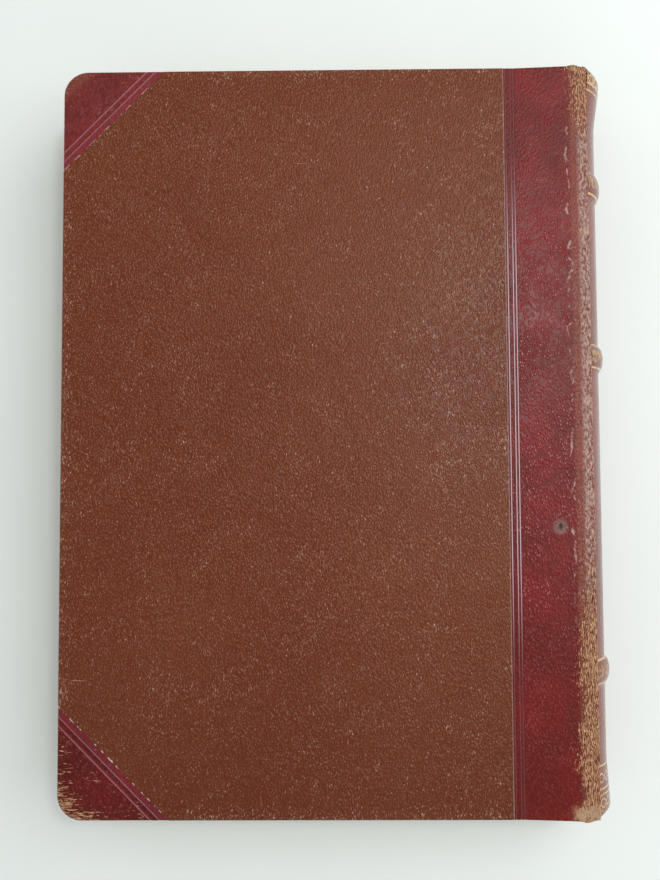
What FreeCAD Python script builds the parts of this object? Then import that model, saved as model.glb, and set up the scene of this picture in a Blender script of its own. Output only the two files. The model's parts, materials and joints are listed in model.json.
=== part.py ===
import FreeCAD, Part

import math
import os

from FreeCAD import Vector

# Half-leather stamp stock album, closed and lying on its front board. Sizes are in millimetres.
# X runs from the fore-edge to the spine, Y from the tail to the head, and Z up to the back board.
# The origin is under the middle of the closed album, on the plane that the front board lies on.
# Each board swings on the spine about the round edge that its leather is drawn over, and each
# card leaf swings on the guards about the bead of its linen hinge.

# Boards and what covers them
cover_height = 305.0          # head to tail
cover_reach = 214.7           # fore-edge to the board's hinge axis
corner_radius = 10.0          # round corners at the fore-edge
board_thick = 2.6
skin_thick = 0.5              # leather or side paper, where it is drawn over a board
paper_proud = 0.1             # side paper above the leather beside it
turn_in = 15.0                # skin turned in over the board's edges
joint_leather_width = 34.6    # strip of leather on the board, out to its round edge
nose_lap = 4.0                # leather lapped round the board's spine edge
head_corner_leg = 42.0        # legs of the leather corners along the board's edges
tail_corner_leg = 45.0
pastedown_thick = 0.2
pastedown_margin = 3.5
hinge_cloth_width = 12.5      # strip of cloth along the inside of each joint

# Leaves
leaf_count = 16
leaf_pitch = 2.2
leaf_square = 4.0             # the boards stand proud of the leaves by this
leaf_corner_radius = 6.0
card_thick = 1.2
linen_thick = 0.6             # linen hinge between card and guard
linen_width = 8.0
linen_grip = 0.25             # how far the linen's edge lies clear of the guards
pocket_rows = 9
pocket_height = 28.0
pocket_thick = 0.15
pocket_margin = 4.0
flyleaf_thick = 0.2
sheet_gap = 0.15              # air between flyleaf and paste-down, and under the flyleaf

# Spine
leaf_hinge_inset = 10.0       # from the board's hinge axis in to the leaves' hinge axes
flyleaf_hinge_inset = 3.5
crease_angle = 62.0           # degrees below level, from the board's round edge to the crease
crease_gap = 0.25
spine_bulge = 8.1             # rounding of the spine between its two creases
spine_leather_thick = 0.7
spine_turn_in = 12.0
cap_radius = 2.0              # rounding of the leather at head and tail
inlay_thick = 1.0
inlay_gap = 0.1
hollow_gap = 0.2
lining_thick = 0.8
tape_thick = 0.4
tape_width = 12.0
tape_count = 4
tape_span = 210.0             # between the outer tapes
band_width = 9.5              # raised bands
band_height = 1.9
band_wrap = 0.5               # leather drawn in beside a band
bands_from_head = (47.0, 119.5)
band_from_tail = 57.0
endband_radius = 1.2
stitch_radius = 0.4
stitch_clearance = 0.05
stitch_inset = 3.2            # from the guards' free edge
stitch_loops = 5
stitch_length = 30.0
stitch_span = 230.0           # between the middles of the outer loops

# Places worked out from the sizes above
wrap_thick = board_thick + 2 * skin_thick
nose_radius = wrap_thick / 2
cover_thick = paper_proud + wrap_thick + pastedown_thick
sheet_room = flyleaf_thick + 2 * sheet_gap
album_thick = 2 * (cover_thick + sheet_room) + leaf_count * leaf_pitch
hinge_z = paper_proud + nose_radius              # of the front board; the back one is its mirror
crease_reach = nose_radius + crease_gap
crease_out = crease_reach * math.cos(math.radians(crease_angle))
crease_z = hinge_z + crease_reach * math.sin(math.radians(crease_angle))
half_chord = album_thick / 2 - crease_z
spine_radius = (half_chord ** 2 + spine_bulge ** 2) / (2 * spine_bulge)
spine_half_angle = math.degrees(math.asin(half_chord / spine_radius))
spine_reach = crease_out + spine_bulge + band_height
album_width = cover_reach + spine_reach
fore_x = -album_width / 2
hinge_x = fore_x + cover_reach
nose_x = hinge_x + nose_radius
spine_axis = Vector(hinge_x + crease_out + spine_bulge - spine_radius, 0, album_thick / 2)
head_y = cover_height / 2
leaf_head_y = head_y - leaf_square
leaf_fore_x = fore_x + leaf_square
leaf_hinge_x = hinge_x - leaf_hinge_inset
flyleaf_hinge_x = hinge_x - flyleaf_hinge_inset
guard_x = leaf_hinge_x + linen_thick / 2 + linen_grip
block_top_z = album_thick - cover_thick - sheet_room
band_places = [head_y - d for d in bands_from_head] + [band_from_tail - head_y]
inlay_radius = spine_radius - spine_leather_thick
lining_radius = inlay_radius - inlay_thick - spine_leather_thick - hollow_gap
guard_radius = lining_radius - lining_thick
across = Vector(0, 1, 0)
far = 2 * cover_reach         # longer than any piece, for cutting tools


def leaf_z(number):
    """Height of a leaf's middle; leaf 1 is next to the back board."""
    return block_top_z - (number - 0.5) * leaf_pitch


def spread(count, span):
    """Places of count things evenly spaced over span, about the middle."""
    return [span * (i / (count - 1) - 0.5) for i in range(count)]


def slab(x0, x1, y0, y1, z0, z1):
    return Part.makeBox(x1 - x0, y1 - y0, z1 - z0, Vector(x0, y0, z0))


def filled(edges):
    return Part.Face(Part.Wire(edges))


def line(a, b):
    return Part.LineSegment(a, b).toShape()


def arc(a, b, c):
    return Part.Arc(a, b, c).toShape()


def round_edged(x0, x1, middle_z, thick, half_height):
    """Slab whose edge at x1 is a half round about the line x1, middle_z."""
    low = middle_z - thick / 2
    high = middle_z + thick / 2
    y = -half_height
    edges = [
        line(Vector(x0, y, low), Vector(x1, y, low)),
        arc(Vector(x1, y, low), Vector(x1 + thick / 2, y, middle_z), Vector(x1, y, high)),
        line(Vector(x1, y, high), Vector(x0, y, high)),
        line(Vector(x0, y, high), Vector(x0, y, low)),
    ]
    return filled(edges).extrude(Vector(0, 2 * half_height, 0))


def fore_outline(x0, half_height, radius, z0, z1):
    """Prism with two round corners at the fore-edge x0, open-ended past the spine."""
    x1 = x0 + far
    bend = radius * (1 - math.sqrt(0.5))
    h = half_height
    edges = [
        line(Vector(x1, -h, z0), Vector(x0 + radius, -h, z0)),
        arc(Vector(x0 + radius, -h, z0), Vector(x0 + bend, bend - h, z0),
            Vector(x0, radius - h, z0)),
        line(Vector(x0, radius - h, z0), Vector(x0, h - radius, z0)),
        arc(Vector(x0, h - radius, z0), Vector(x0 + bend, h - bend, z0),
            Vector(x0 + radius, h, z0)),
        line(Vector(x0 + radius, h, z0), Vector(x1, h, z0)),
        line(Vector(x1, h, z0), Vector(x1, -h, z0)),
    ]
    return filled(edges).extrude(Vector(0, 0, z1 - z0))


def corner_prism(leg, side):
    """Triangular prism over one fore-edge corner; side is 1 at the head and -1 at the tail."""
    z = -1.0
    reach = leg + 1.0
    tip = Vector(fore_x - 1.0, side * (head_y + 1.0), z)
    a = Vector(fore_x + reach, tip.y, z)
    b = Vector(tip.x, side * (head_y - reach), z)
    return filled([line(tip, a), line(a, b), line(b, tip)]).extrude(Vector(0, 0, 2 + wrap_thick))


def cover_pieces():
    """The front board and what is glued to it, outer face down."""
    wrap_top = paper_proud + wrap_thick
    wrap = round_edged(fore_x, hinge_x, hinge_z, wrap_thick, head_y).common(
        fore_outline(fore_x, head_y, corner_radius, 0, wrap_top))
    board = round_edged(fore_x + skin_thick, hinge_x, hinge_z, board_thick,
                        head_y - skin_thick).common(
        fore_outline(fore_x + skin_thick, head_y - skin_thick, corner_radius - skin_thick,
                     0, wrap_top))
    board_top = hinge_z + board_thick / 2
    window = slab(fore_x + turn_in, hinge_x - nose_lap, turn_in - head_y, head_y - turn_in,
                  board_top, wrap_top)
    skin = wrap.cut(board).cut(window)
    strip_x = nose_x - joint_leather_width
    strip = slab(strip_x, nose_x + 1, -far, far, -1, wrap_top + 1)
    head_corner = corner_prism(head_corner_leg, 1)
    tail_corner = corner_prism(tail_corner_leg, -1)
    face = fore_outline(fore_x, head_y, corner_radius, 0, paper_proud + skin_thick / 2)
    paper = skin.fuse(face.common(slab(fore_x, strip_x, -far, far, 0, wrap_top)))
    paper = paper.cut(strip).cut(head_corner).cut(tail_corner).removeSplitter()
    cloth_x = hinge_x - nose_lap / 2
    sheet_x = cloth_x - hinge_cloth_width
    sheet = fore_outline(fore_x + pastedown_margin, head_y - pastedown_margin,
                         corner_radius - pastedown_margin, wrap_top,
                         wrap_top + pastedown_thick).common(
        slab(fore_x, sheet_x, -far, far, 0, 2 * wrap_top))
    liner = slab(fore_x + turn_in, sheet_x, turn_in - head_y, head_y - turn_in,
                 board_top, wrap_top)
    cloth = slab(sheet_x, cloth_x, pastedown_margin - head_y, head_y - pastedown_margin,
                 wrap_top, wrap_top + pastedown_thick)
    backing = slab(sheet_x, hinge_x - nose_lap, turn_in - head_y, head_y - turn_in,
                   board_top, wrap_top)
    return {
        "board": board,
        "side_paper": paper,
        "joint_leather": skin.common(strip),
        "head_corner": skin.common(head_corner),
        "tail_corner": skin.common(tail_corner),
        "pastedown": sheet.fuse(liner).removeSplitter(),
        "hinge_cloth": cloth.fuse(backing).removeSplitter(),
    }


def turned_round_spine(points, half_angle):
    """Revolves a closed (radius, y) outline about the spine's own centre line."""
    corners = [spine_axis + Vector(r, y, 0) for r, y in points]
    edges = [line(a, b) for a, b in zip(corners, corners[1:] + corners[:1])]
    return turned(filled(edges), half_angle)


def turned(face, half_angle):
    face.rotate(spine_axis, across, -half_angle)
    return face.revolve(spine_axis, across, 2 * half_angle)


def band_edges(radius, width, height, y):
    """Outline of the low round ridge that a raised band makes, head side first."""
    ends = [spine_axis + Vector(radius, y + s * width / 2, 0) for s in (1, -1)]
    top = spine_axis + Vector(radius + height, y, 0)
    return arc(ends[0], top, ends[1]), ends


def ridged_line(radius, width, start_y, end_y):
    """Edges down the spine at one radius, from head to tail, over every raised band."""
    edges = []
    at = spine_axis + Vector(radius, start_y, 0)
    for y in band_places:
        ridge, ends = band_edges(radius, width, band_height, y)
        edges += [line(at, ends[0]), ridge]
        at = ends[1]
    edges.append(line(at, spine_axis + Vector(radius, end_y, 0)))
    return edges


def spine_leather():
    """Leather drawn over the inlay and the raised bands, and turned in at head and tail."""
    under = inlay_radius
    turned_in = under - inlay_thick - spine_leather_thick
    edge_y = head_y - spine_leather_thick

    def at(radius, y):
        return spine_axis + Vector(radius, y, 0)

    def cap(side):
        """Round end of the leather, from its outer face to its turned-in edge."""
        bend = cap_radius * (1 - math.sqrt(0.5))
        start = at(spine_radius, side * (head_y - cap_radius))
        middle = at(spine_radius - bend, side * (head_y - bend))
        end = at(spine_radius - cap_radius, side * head_y)
        run = [end, at(turned_in, side * head_y), at(turned_in, side * (head_y - spine_turn_in)),
               at(under - inlay_thick, side * (head_y - spine_turn_in)),
               at(under - inlay_thick, side * edge_y), at(under, side * edge_y)]
        return [arc(start, middle, end)] + [line(a, b) for a, b in zip(run, run[1:])]

    outer = ridged_line(spine_radius, band_width, head_y - cap_radius, cap_radius - head_y)
    inner = ridged_line(under, band_width - 2 * band_wrap, edge_y, -edge_y)
    profile = outer + cap(-1) + inner + cap(1)
    return turned(Part.Face(Part.Wire(Part.sortEdges(profile)[0])), spine_half_angle)


def raised_band(y):
    width = band_width - 2 * band_wrap
    ridge, ends = band_edges(inlay_radius, width, band_height, y)
    return turned(filled([ridge, line(ends[1], ends[0])]), spine_half_angle - 1)


def spine_inlay():
    edge_y = head_y - spine_leather_thick - inlay_gap
    inner = inlay_radius - inlay_thick
    return turned_round_spine([(inner, -edge_y), (inlay_radius, -edge_y),
                               (inlay_radius, edge_y), (inner, edge_y)], spine_half_angle - 1)


def block_half_angle(radius):
    """Angle at which an arc of that radius reaches the top of the guards."""
    return math.degrees(math.asin((guard_top_z - album_thick / 2) / radius))


guard_top_z = block_top_z - 2 * stitch_radius


def tape_edges(y):
    return y - tape_width / 2, y + tape_width / 2


def sewing_tapes():
    outer = guard_radius + tape_thick
    angle = block_half_angle(outer)
    tapes = []
    for y in spread(tape_count, tape_span):
        low, high = tape_edges(y)
        tapes.append(turned_round_spine([(guard_radius, low), (outer, low),
                                         (outer, high), (guard_radius, high)], angle))
    return Part.makeCompound(tapes)


def spine_lining():
    """Gauze and paper glued to the guards and over the tapes."""
    outline = [(lining_radius, leaf_head_y), (lining_radius, -leaf_head_y),
               (guard_radius, -leaf_head_y)]
    for y in spread(tape_count, tape_span):
        low, high = tape_edges(y)
        outline += [(guard_radius, low), (guard_radius + tape_thick, low),
                    (guard_radius + tape_thick, high), (guard_radius, high)]
    outline.append((guard_radius, leaf_head_y))
    return turned_round_spine(outline, block_half_angle(lining_radius))


def end_band(side):
    """Cord wrapped in cotton at the head or tail of the guards."""
    y = side * (leaf_head_y + endband_radius)
    centre = spine_axis + Vector(guard_radius - endband_radius, y, 0)
    ring = Part.makeCircle(endband_radius, centre, Vector(0, 0, 1))
    return turned(Part.Face(Part.Wire(ring)), block_half_angle(guard_radius) - 2)


def stitch_holes(radius):
    """Upright rods where the stitches pass through the guards."""
    x = guard_x + stitch_inset
    return [Part.makeCylinder(radius, far, Vector(x, y + s * stitch_length / 2, -far / 2))
            for y in spread(stitch_loops, stitch_span) for s in (1, -1)]


def hinge_guards():
    """Card guards, one for each leaf, with their spine edges on the round of the spine."""
    round_back = Part.makeCylinder(guard_radius, 2 * leaf_head_y,
                                   spine_axis - Vector(0, leaf_head_y, 0), across)
    holes = stitch_holes(stitch_radius + stitch_clearance)
    low_z = album_thick - guard_top_z
    guards = []
    for number in range(1, leaf_count + 1):
        bottom = max(leaf_z(number) - leaf_pitch / 2, low_z)
        top = min(leaf_z(number) + leaf_pitch / 2, guard_top_z)
        blank = slab(guard_x, nose_x + spine_bulge, -leaf_head_y, leaf_head_y, bottom, top)
        guards.append(blank.common(round_back).cut(holes).Solids[0])
    return Part.makeCompound(guards)


def binding_stitches():
    """Closed loops of thread that hold the guards together."""
    x = guard_x + stitch_inset
    top = guard_top_z + stitch_radius
    bottom = album_thick - top
    loops = []
    for y in spread(stitch_loops, stitch_span):
        ends = [Vector(x, y + s * stitch_length / 2, z)
                for s, z in ((-1, bottom), (1, bottom), (1, top), (-1, top))]
        loop = Part.makeSphere(stitch_radius, ends[0])
        for a, b in zip(ends, ends[1:] + ends[:1]):
            rod = Part.makeCylinder(stitch_radius, a.distanceToPoint(b), a, b - a)
            loop = loop.fuse([rod, Part.makeSphere(stitch_radius, b)])
        loops.append(loop.removeSplitter())
    return Part.makeCompound(loops)


def leaf_card(z):
    """Card leaf, and the linen hinge let into its edge, as two solids."""
    card_x = leaf_hinge_x - linen_width
    card = fore_outline(leaf_fore_x, leaf_head_y, leaf_corner_radius,
                        z - card_thick / 2, z + card_thick / 2)
    card = card.common(slab(leaf_fore_x, card_x, -far, far, z - far, z + far))
    linen = round_edged(card_x, leaf_hinge_x, z, linen_thick, leaf_head_y)
    return Part.makeCompound([card, linen])


def leaf_pockets(z):
    """Clear strips across both faces of a leaf, each open along its head edge."""
    row = (2 * leaf_head_y - 2 * pocket_margin) / pocket_rows
    x0 = leaf_fore_x + pocket_margin
    x1 = leaf_hinge_x - linen_width - pocket_margin / 2
    strips = []
    for number in range(pocket_rows):
        y0 = pocket_margin - leaf_head_y + number * row
        for side in (1, -1):
            near = z + side * card_thick / 2
            low, high = sorted((near, near + side * pocket_thick))
            strips.append(slab(x0, x1, y0, y0 + pocket_height, low, high))
    return Part.makeCompound(strips)


def flyleaf(z):
    """Free endpaper, from its own hinge near the joint out to the fore-edge."""
    sheet = round_edged(leaf_fore_x, flyleaf_hinge_x, z, flyleaf_thick, leaf_head_y)
    return sheet.common(fore_outline(leaf_fore_x, leaf_head_y, leaf_corner_radius,
                                     z - flyleaf_thick, z + flyleaf_thick))


def to_back(shape):
    """The same piece on the back board's side of the album."""
    return shape.mirror(spine_axis, Vector(0, 0, 1))


def all_pieces():
    pieces = {}
    flyleaf_z = cover_thick + sheet_gap + flyleaf_thick / 2
    cover = dict(cover_pieces(), flyleaf=flyleaf(flyleaf_z))
    for name, shape in cover.items():
        pieces["front_" + name] = shape
        pieces["back_" + name] = to_back(shape)
    pieces["spine_leather"] = spine_leather()
    pieces["spine_inlay"] = spine_inlay()
    pieces["spine_lining"] = spine_lining()
    pieces["sewing_tapes"] = sewing_tapes()
    pieces["hinge_guards"] = hinge_guards()
    pieces["binding_stitches"] = binding_stitches()
    pieces["head_endband"] = end_band(1)
    pieces["tail_endband"] = end_band(-1)
    for number, y in enumerate(band_places, 1):
        pieces["raised_band_%d" % number] = raised_band(y)
    for number in range(1, leaf_count + 1):
        pieces["leaf_%02d_card" % number] = leaf_card(leaf_z(number))
        pieces["leaf_%02d_pockets" % number] = leaf_pockets(leaf_z(number))
    return pieces


def main():
    os.makedirs("parts", exist_ok=True)
    for name, shape in sorted(all_pieces().items()):
        if not shape.isValid():
            raise ValueError("piece %s is not a valid shape" % name)
        shape.exportStep(os.path.join("parts", name + ".step"))
        print("%-22s %3d solids %10.1f mm3" % (name, len(shape.Solids), shape.Volume))


main()
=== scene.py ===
import json
import math

import bmesh
import bpy
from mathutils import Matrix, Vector


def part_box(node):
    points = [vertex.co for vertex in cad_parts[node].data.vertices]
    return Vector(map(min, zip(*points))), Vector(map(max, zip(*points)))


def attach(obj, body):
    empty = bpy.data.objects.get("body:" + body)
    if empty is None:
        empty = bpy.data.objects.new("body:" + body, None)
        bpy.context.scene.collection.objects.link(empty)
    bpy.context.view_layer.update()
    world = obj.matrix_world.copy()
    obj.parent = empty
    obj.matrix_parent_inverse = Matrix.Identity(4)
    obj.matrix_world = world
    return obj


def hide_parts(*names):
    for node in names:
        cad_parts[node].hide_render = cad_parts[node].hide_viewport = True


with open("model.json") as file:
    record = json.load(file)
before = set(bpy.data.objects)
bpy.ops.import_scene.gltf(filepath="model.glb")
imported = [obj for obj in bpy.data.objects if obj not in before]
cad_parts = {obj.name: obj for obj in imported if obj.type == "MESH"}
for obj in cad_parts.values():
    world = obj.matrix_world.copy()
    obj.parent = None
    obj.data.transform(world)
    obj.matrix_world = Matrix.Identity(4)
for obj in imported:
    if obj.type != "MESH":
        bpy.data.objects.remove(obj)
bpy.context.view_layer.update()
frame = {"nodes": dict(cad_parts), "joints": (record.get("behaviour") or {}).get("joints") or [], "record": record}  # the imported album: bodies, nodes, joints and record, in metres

mm = 0.001
sides = {"back": 1, "front": -1}  # which way each cover's outer face looks along Z

# Places that every piece shares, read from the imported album
leatherLow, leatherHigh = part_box("back_joint_leather")
paperLow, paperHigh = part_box("back_side_paper")
headCornerLow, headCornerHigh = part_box("back_head_corner")
tailCornerLow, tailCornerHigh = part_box("back_tail_corner")
headY = paperHigh.y
foreX = paperLow.x
noseX = leatherHigh.x  # the boards' round spine edge
stripX = leatherLow.x  # where the side paper meets the leather strip
albumTop = paperHigh.z
noseRadius = (leatherHigh.z - leatherLow.z) / 2
hingeX = noseX - noseRadius
headLeg = headCornerHigh.x - foreX
tailLeg = tailCornerHigh.x - foreX
bandPlaces = [sum(corner.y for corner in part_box("raised_band_%d" % n)) / 2 for n in (1, 2, 3)]
hinges = {joint["name"]: Vector(joint["pos_m"]) for joint in frame["joints"]}

# The spine's leather: an arc from one crease to the other, round spineAxis
spineLook = {
    "creaseAngle": 62,  # degrees below level, from the board's round edge to the crease
    "creaseGap": 0.25 * mm,
    "thick": 0.7 * mm,
    "bandHeight": 1.9 * mm,
    "bandReach": 4.9 * mm,  # how far from its middle a band lifts the leather
    "capRound": 2.8 * mm,
    "capLip": 1.4 * mm,  # leather turned in over the endband
    "capRise": 1.8 * mm,  # how far the caps' ears stand beyond the boards, at the creases
    "flare": {1: 2.5 * mm, -1: 1.2 * mm},  # the caps swell outwards: head and tail
    "flareReach": 24 * mm,
    "earReach": 6 * mm,
    "creaseLap": math.radians(0.3),  # how far the leather goes on past each crease
    "rowStep": 2 * mm,
    "fineStep": 0.5 * mm,  # the same beside the bands
    "turns": 44,  # steps from one crease to the other
}
creaseReach = noseRadius + spineLook["creaseGap"]
creaseX = hingeX + creaseReach * math.cos(math.radians(spineLook["creaseAngle"]))
creaseZ = hinges["front_joint"].z + creaseReach * math.sin(math.radians(spineLook["creaseAngle"]))
halfChord = albumTop / 2 - creaseZ
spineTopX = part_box("spine_leather")[1].x - spineLook["bandHeight"]
spineBulge = spineTopX - creaseX
spineRadius = (halfChord ** 2 + spineBulge ** 2) / (2 * spineBulge)
spineAxis = Vector((spineTopX - spineRadius, 0, albumTop / 2))
spineHalfAngle = math.asin(halfChord / spineRadius)


def selectOnly(piece=None):
    # ends any editing and leaves one piece selected, or none
    if bpy.context.mode != "OBJECT":
        bpy.ops.object.mode_set(mode="OBJECT")
    bpy.ops.object.select_all(action="DESELECT")
    if piece:
        piece.select_set(True)
        bpy.context.view_layer.objects.active = piece


def editOnly(piece):
    # opens one piece for editing, with nothing else selected
    selectOnly(piece)
    bpy.ops.object.mode_set(mode="EDIT")


def verticesOf(piece):
    # every vertex of a piece, to be moved in turn; after the last one the piece takes its new shape
    editOnly(piece)
    mesh = bmesh.from_edit_mesh(piece.data)
    yield from mesh.verts
    bmesh.update_edit_mesh(piece.data)
    selectOnly()


def span(edge, axis):
    # how far an edge reaches along one axis
    return abs(edge.verts[0].co[axis] - edge.verts[1].co[axis])


def pick(piece, kind, test):
    # selects the vertices, edges or faces that the test accepts
    editOnly(piece)
    bpy.ops.mesh.select_mode(type=kind)
    bpy.ops.mesh.select_all(action="DESELECT")
    mesh = bmesh.from_edit_mesh(piece.data)
    for part in {"VERT": mesh.verts, "EDGE": mesh.edges, "FACE": mesh.faces}[kind]:
        if test(part):
            part.select_set(True)
    mesh.select_flush_mode()
    bmesh.update_edit_mesh(piece.data)


def slicePiece(piece, point, normal, drop=False):
    # an edge loop where the plane crosses; drop also takes away what lies in front of it
    editOnly(piece)
    bpy.ops.mesh.select_all(action="SELECT")
    bpy.ops.mesh.bisect(plane_co=point, plane_no=normal, clear_outer=drop, threshold=1e-7)


def useModifier(piece, name, kind, **settings):
    selectOnly(piece)
    modifier = piece.modifiers.new(name, kind)
    for key, value in settings.items():
        setattr(modifier, key, value)
    bpy.ops.object.modifier_apply(modifier=name)


def copyPiece(piece, name):
    selectOnly(piece)
    bpy.ops.object.duplicate(linked=False)
    bpy.context.object.name = name
    return bpy.context.object


def finishMesh(piece, material, smoothAngle=40):
    # faces outwards, smooth except at real edges, and the finish put on
    editOnly(piece)
    bpy.ops.mesh.select_all(action="SELECT")
    bpy.ops.mesh.remove_doubles(threshold=1e-6)
    bpy.ops.mesh.normals_make_consistent(inside=False)
    selectOnly(piece)
    bpy.ops.object.shade_smooth_by_angle(angle=math.radians(smoothAngle))
    piece.data.materials.clear()
    piece.data.materials.append(material)


def addBlock(name, low, high):
    selectOnly()
    low, high = Vector(low), Vector(high)
    bpy.ops.mesh.primitive_cube_add(size=1, location=(low + high) / 2, scale=high - low)
    bpy.ops.object.transform_apply(location=True, rotation=True, scale=True)
    bpy.context.object.name = name
    return bpy.context.object


# what these kinds of node are set to. A MapRange is 0 at the first value given and 1 at the second
usual = {"MapRange": {"interpolation_type": "SMOOTHSTEP"}, "Mix": {"data_type": "RGBA"}}


def linearColour(code):
    # an sRGB hex colour as the linear values that shaders use
    parts = [int(code[i:i + 2], 16) / 255 for i in (0, 2, 4)]
    return [c / 12.92 if c <= 0.04045 else ((c + 0.055) / 1.055) ** 2.4 for c in parts] + [1.0]


def addNode(tree, kind, *values, **settings):
    # one node: its kind (a word in capitals is an operation of the Math node), what each socket in
    # use gets in turn, and its settings. A socket gets a value, a hex colour, a node or an output.
    # None skips a socket, and a dictionary names sockets
    if kind.isupper():
        kind, settings = "Math", {"operation": kind}
    made = tree.nodes.new("ShaderNode" + kind)
    for key, value in (usual.get(kind, {}) | settings).items():
        setattr(made, key, value)
    wanted = []
    for socket, value in zip([socket for socket in made.inputs if socket.enabled], values):
        if isinstance(value, dict):
            wanted += [(made.inputs[name], given) for name, given in value.items()]
        elif value is not None:
            wanted.append((socket, value))
    for socket, value in wanted:
        if isinstance(value, str):
            value = linearColour(value)
        if isinstance(value, bpy.types.Node):
            value = next(output for output in value.outputs if output.enabled)
        if isinstance(value, bpy.types.NodeSocket):
            tree.links.new(value, socket)
        else:
            socket.default_value = value
    return made


def startMaterial(name):
    # an empty material, a short way to add its nodes, and the place on the piece: whole, X, Y, Z
    material = bpy.data.materials.new(name)
    material.use_nodes = True
    tree = material.node_tree
    tree.nodes.clear()

    def add(kind, *values, **settings):
        return addNode(tree, kind, *values, **settings)
    place = add("TexCoord").outputs["Object"]
    axis = add("SeparateXYZ", place).outputs
    return material, add, place, axis[0], axis[1], axis[2]


def spotOf(add, x, y):
    # how far a place is from a cover's square corner, along both edges together
    return add("ADD", *edgeDistances(add, x, y))


def nearestOf(add, value, places):
    # how far a value is from the nearest of several places
    nearest = None
    for place in places:
        gap = add("ABSOLUTE", add("SUBTRACT", value, place))
        nearest = gap if nearest is None else add("MINIMUM", nearest, gap)
    return nearest


def edgeDistances(add, x, y):
    # how far a place on a cover is from its fore edge and from its head or tail edge
    fromFore = add("SUBTRACT", x, foreX)
    fromEnd = add("SUBTRACT", headY, add("ABSOLUTE", y))
    return fromFore, fromEnd


def pastDiagonal(add, x, y):
    # how far a place lies beyond the slanting edge of a corner's leather
    isHead = add("GREATER_THAN", y, 0.0)
    leg = add("MULTIPLY_ADD", isHead, headLeg - tailLeg, tailLeg)
    beyond = add("SUBTRACT", spotOf(add, x, y), leg)
    return add("MULTIPLY", beyond, math.sqrt(0.5)), isHead


leather = {
    "dye": "7E1C18",  # maroon aniline dye
    "brownDye": "69170F",  # the same, gone brown in patches
    "deepDye": "3F0C09",  # dye lying deep in the grain
    "toolDye": "8F3246",  # burnished pink by the fillet tool
    "pressedDye": "561410",  # pressed dark between two lines
    "headCornerSheen": "8E5050",  # painted sky reflection: the head corner paler and pinker
    "rubbed": "8E5F48",  # where hands have thinned the dye; beside the nose, on the head corner and all over the spine it is partly painted sheen
    "paintedGlare": "B7A39C",  # painted glare: pale where the joint slopes down to the nose, and along the fold's ridge
    "hide": "9C6C44",  # tanned hide where the dye has worn off
    "paleHide": "CBA077",
    "scraped": "B89C80",  # the tail tip, rubbed smooth and grey
    "crack": "5A261A",
    "filletHighlight": "D8C0CA",  # the fillet lines' burnished bottoms, with a painted highlight along them
    "paintedGlint": "D3A0A8",  # painted highlights: pale pink glints on the grain tips
    "gold": "E2B878",
    "bruised": "857672",
    "nicked": "4A241B",
    "slit": "37241E",
    "grain": 0.86 * mm,  # one pebble of the grain
    "grainTurn": -0.55,  # radians: the way the pebbles lie
    "fine": 0.55 * mm,
    "streak": 0.70 * mm,  # from one ridge to the next where it has cracked
    "fillets": (0.9 * mm, 3.0 * mm, 4.2 * mm),  # on the joint, from the side paper's edge
    "cornerFillets": (2.6 * mm, 5.2 * mm),
    "burnished": (0.6 * mm, 1.7 * mm, 5.0 * mm),  # bands the tool has polished pink on a corner
    "filletHalf": 0.11 * mm,
    # where an effect starts and where it is full: along Y, in from an edge, or in from the nose
    "litAlong": (0.11, 0.05),  # from middleY: the stretch that catches the light
    "middleY": 0.01,
    "tailWear": (-0.040, -0.095),
    "headWear": (34 * mm, 10 * mm),
    "toolBand": (5.0 * mm, 4.6 * mm),
    "cornerBand": (6.2 * mm, 5.4 * mm),
    "thinBand": (8.4 * mm, 6.6 * mm),
    "glareBand": (5.4 * mm, 3.2 * mm),
    "foldBand": (0.60 * mm, 0.25 * mm),
    "foldPlace": (7.0 * mm, 5.4 * mm),  # how far the fold beside the nose wanders, and from where
    "dent": (0.0895, -0.0365),  # a bruise on the back joint, and a nick near its head
    "dentReach": 3.9 * mm,
    "slitReach": 0.9 * mm,
    "nick": (0.078, 0.1375),
    "nickReach": 1.3 * mm,
    "relief": 0.13 * mm,
}


def jointWear(add, x, y, patch):
    # hands wear the leather beside the spine, most of all near the tail and at the head
    inward = add("SUBTRACT", noseX, x)
    fromEnd = edgeDistances(add, x, y)[1]
    tail = add("MapRange", y, *leather["tailWear"])
    head = add("MapRange", fromEnd, *leather["headWear"])
    ends = add("MAXIMUM", tail, add("MULTIPLY", head, 0.85))
    reach = add("MULTIPLY_ADD", ends, 4.2 * mm, 1.6 * mm)
    reach = add("MULTIPLY_ADD", patch, 2.6 * mm, reach)
    level = add("MULTIPLY_ADD", ends, 0.34, 0.46)
    near = add("MapRange", add("SUBTRACT", inward, reach), 6.0 * mm, -3.6 * mm)
    worn = add("MULTIPLY", near, level)
    nearNose = add("MapRange", inward, 16 * mm, 3 * mm)
    tip = add("MULTIPLY", add("MapRange", fromEnd, 3 * mm, 0.8 * mm), nearNose)
    return add("MAXIMUM", worn, tip), ends


def cornerWear(add, x, y, patch):
    # a corner wears along its outer edges and at its tip, the tail one far more than the head one
    fromFore, fromEnd = edgeDistances(add, x, y)
    isHead = pastDiagonal(add, x, y)[1]
    fore = add("MapRange", fromFore, 13 * mm, 0.0)
    end = add("MapRange", fromEnd, 7 * mm, 0.0)
    tip = add("MapRange", spotOf(add, x, y), 24 * mm, 5 * mm)
    worn = add("MULTIPLY_ADD", add("MAXIMUM", fore, end), 0.23, 0.14)
    worn = add("MULTIPLY_ADD", tip, 0.50, worn)
    worn = add("MULTIPLY", worn, add("MULTIPLY_ADD", patch, 0.3, 0.8))
    return add("MULTIPLY", worn, add("MULTIPLY_ADD", isHead, -0.80, 1.0)), isHead


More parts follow.
